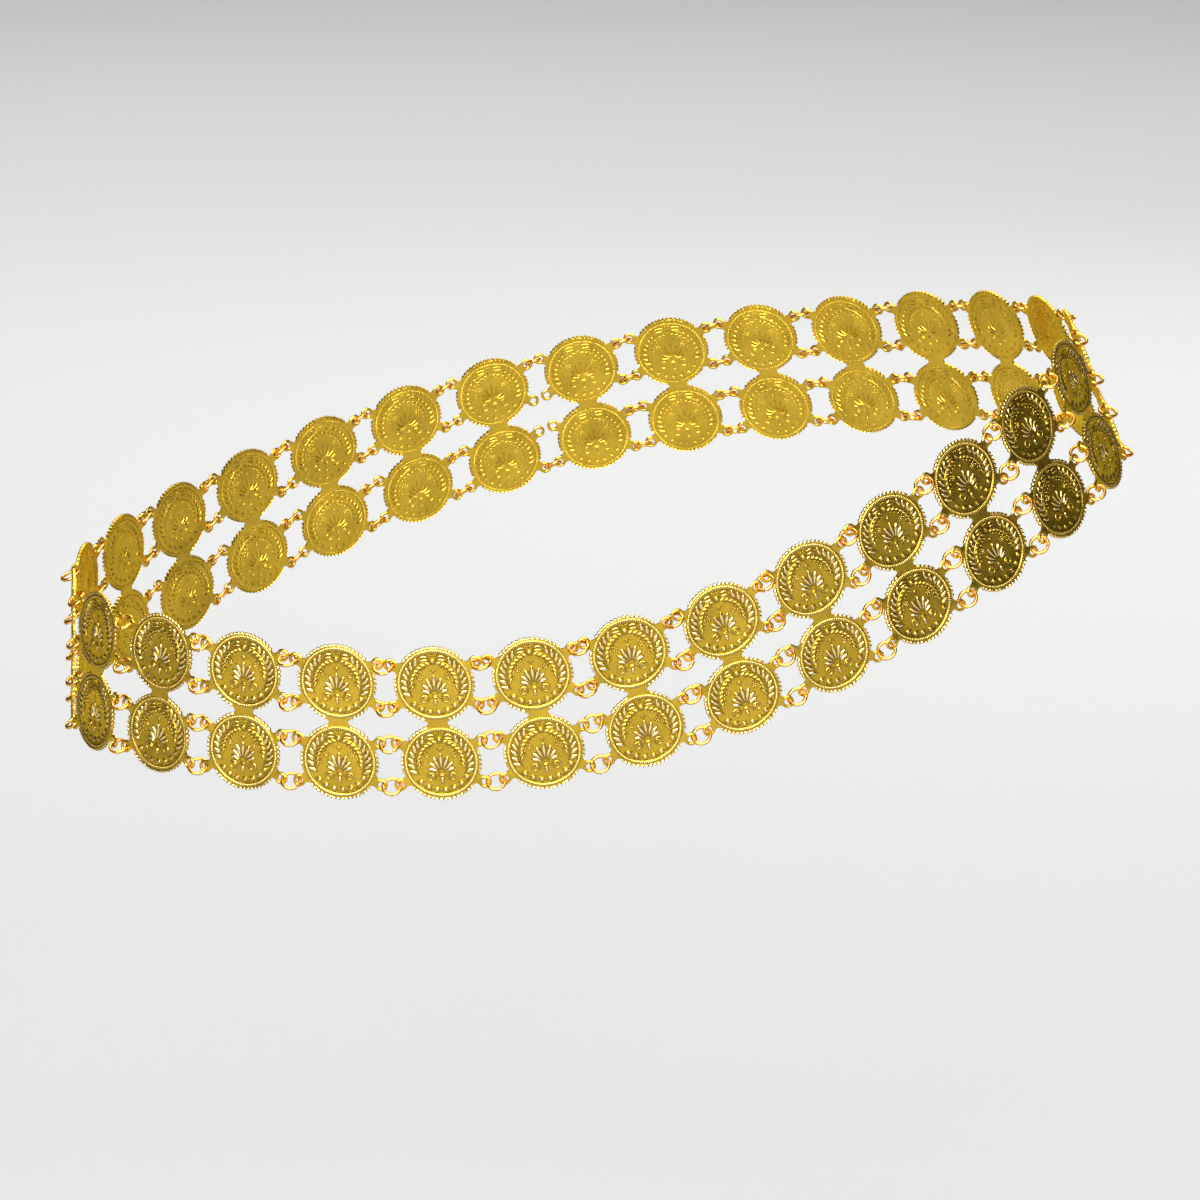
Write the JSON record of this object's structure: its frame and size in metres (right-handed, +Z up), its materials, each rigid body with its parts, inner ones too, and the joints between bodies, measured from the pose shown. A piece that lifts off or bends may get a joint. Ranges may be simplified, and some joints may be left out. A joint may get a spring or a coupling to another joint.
{
  "type": "coin belt",
  "caption": "Metal hip belt: a closed chain of paired coins on jump rings, worn slanted, with hooks at the centre back.",
  "frame": {"origin": "the middle of the loop, where the hips hold the belt, level with the mean height of the links' necks", "axes": "+Z up along the wearer's body, +X to the right as seen from in front, -Y to the front"},
  "size_m": [0.3386, 0.2407, 0.1342],
  "materials": {
    "coin_gold": "polished, stamped",
    "link_gold": "polished wire"
  },
  "bodies": {
    "root": {"coin_pair_01": "coin_gold", "coin_pair_02": "coin_gold", "coin_pair_03": "coin_gold", "coin_pair_04": "coin_gold", "coin_pair_05": "coin_gold", "coin_pair_06": "coin_gold", "coin_pair_07": "coin_gold", "coin_pair_08": "coin_gold", "coin_pair_09": "coin_gold", "coin_pair_10": "coin_gold", "coin_pair_11": "coin_gold", "coin_pair_12": "coin_gold", "coin_pair_13": "coin_gold", "coin_pair_14": "coin_gold", "coin_pair_15": "coin_gold", "coin_pair_16": "coin_gold", "coin_pair_17": "coin_gold", "coin_pair_18": "coin_gold", "coin_pair_19": "coin_gold", "coin_pair_20": "coin_gold", "coin_pair_21": "coin_gold", "coin_pair_22": "coin_gold", "coin_pair_23": "coin_gold", "coin_pair_24": "coin_gold", "coin_pair_25": "coin_gold", "coin_pair_26": "coin_gold", "coin_pair_27": "coin_gold", "coin_pair_28": "coin_gold", "coin_pair_29": "coin_gold", "hook_upper": "link_gold", "hook_lower": "link_gold"}
  },
  "joints": []
}
